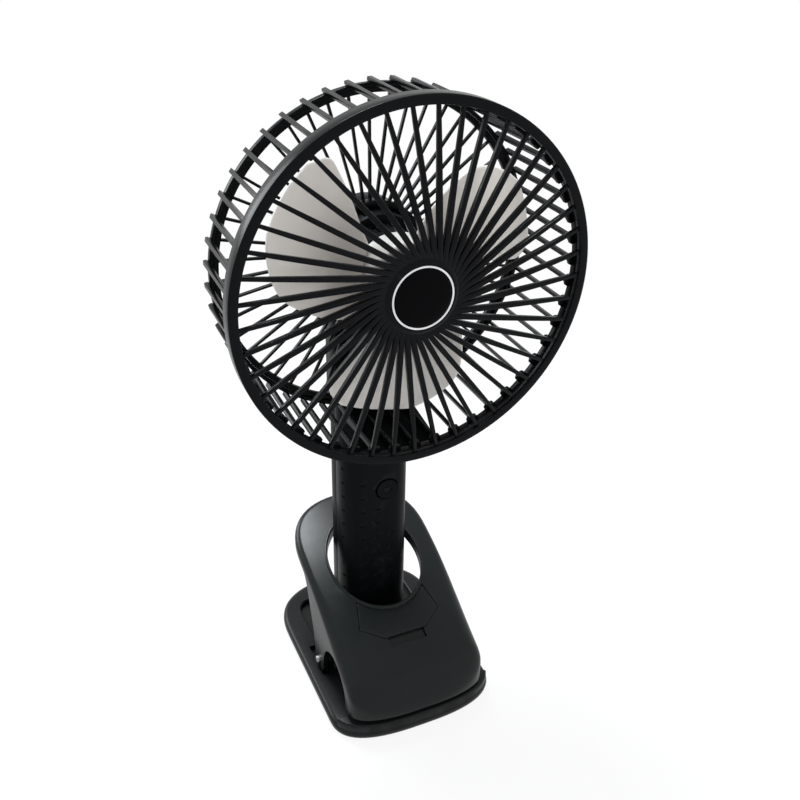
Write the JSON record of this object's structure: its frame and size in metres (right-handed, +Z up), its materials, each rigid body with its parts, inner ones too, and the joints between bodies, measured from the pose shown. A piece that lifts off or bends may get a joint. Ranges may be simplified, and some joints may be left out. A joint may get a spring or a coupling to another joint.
{
  "type": "clip fan",
  "caption": "Battery fan with a drum-shaped guard on an upright handle that stands in a spring clip, so it sits on a table or grips an edge.",
  "frame": {"origin": "middle of the underside of the clip's base, on the plane it stands on", "axes": "+Z up along the handle, -Y the way the fan blows and the clip opens, +X to the right as seen facing the fan"},
  "size_m": [0.15, 0.1135, 0.2927],
  "materials": {
    "black_plastic": "moulded black ABS with a fine satin grain",
    "shell_plastic": "moulded charcoal ABS, satin",
    "guard_plastic": "black PP, slightly glossier than the handle",
    "gloss_black": "polished black",
    "switch_black": "black moulded switch",
    "blade_plastic": "warm light grey PP, satin",
    "rubber": "soft black rubber",
    "steel": "zinc-plated steel",
    "spring_steel": "drawn spring wire",
    "port_metal": "stamped and plated steel",
    "silver_trim": "bright silver ring",
    "board": "green solder mask",
    "cell_wrap": "shrink-wrapped cell",
    "washer": "brown fibre friction washer"
  },
  "bodies": {
    "stand": {"base_tray": "black_plastic", "sole_pad": "rubber", "lower_jaw_pad": "rubber", "hinge_pin": "steel", "torsion_spring_left": "spring_steel", "torsion_spring_right": "spring_steel", "foot_screw_left": "steel", "foot_screw_right": "steel", "handle_front_shell": "black_plastic", "handle_back_shell": "black_plastic", "foot_block": "black_plastic", "battery_cell": "cell_wrap", "control_board": "board", "tact_switch": "switch_black", "charge_board": "board", "charging_port": "port_metal", "handle_screw_1": "steel", "handle_screw_2": "steel", "handle_screw_3": "steel", "handle_screw_4": "steel", "tilt_pin": "steel", "friction_washer_left": "washer", "friction_washer_right": "washer"},
    "upper_jaw": {"upper_jaw_shell": "shell_plastic", "upper_jaw_pad": "rubber"},
    "lid": {"compartment_lid": "shell_plastic"},
    "button": {"power_button": "black_plastic"},
    "head": {"neck_carrier": "black_plastic", "carrier_cover": "black_plastic", "cover_screw_top": "steel", "cover_screw_bottom": "steel", "front_guard": "guard_plastic", "side_guard": "guard_plastic", "rear_guard": "guard_plastic", "hub_ring": "silver_trim", "hub_cap": "gloss_black", "motor_housing": "black_plastic", "motor_can": "steel"},
    "rotor": {"impeller": "blade_plastic", "motor_shaft": "steel"}
  },
  "joints": [
    {"name": "jaw_hinge", "type": "hinge", "parent": "stand", "child": "upper_jaw", "pos_m": [0, -0.006, 0.011], "axis": [-1, 0, 0], "range_deg": [0, 16], "stiffness_Nm_per_rad": 1.4, "springref_deg": -20.05, "deforming": ["torsion_spring_left", "torsion_spring_right"]},
    {"name": "lid_hinge", "type": "hinge", "parent": "upper_jaw", "child": "lid", "pos_m": [0, -0.014, 0.0476], "axis": [-1, 0, 0], "range_deg": [0, 75]},
    {"name": "button_press", "type": "slide", "parent": "stand", "child": "button", "axis": [0, 1, 0], "range_m": [0, 0.0008], "stiffness_N_per_m": 1500, "springref_m": -0.0002},
    {"name": "head_tilt", "type": "hinge", "parent": "stand", "child": "head", "pos_m": [0, 0.013, 0.134], "axis": [-1, 0, 0], "range_deg": [-30, 40]},
    {"name": "blade_spin", "type": "hinge", "parent": "head", "child": "rotor", "pos_m": [0, 0, 0.2177], "axis": [0, -1, 0], "continuous": true}
  ]
}
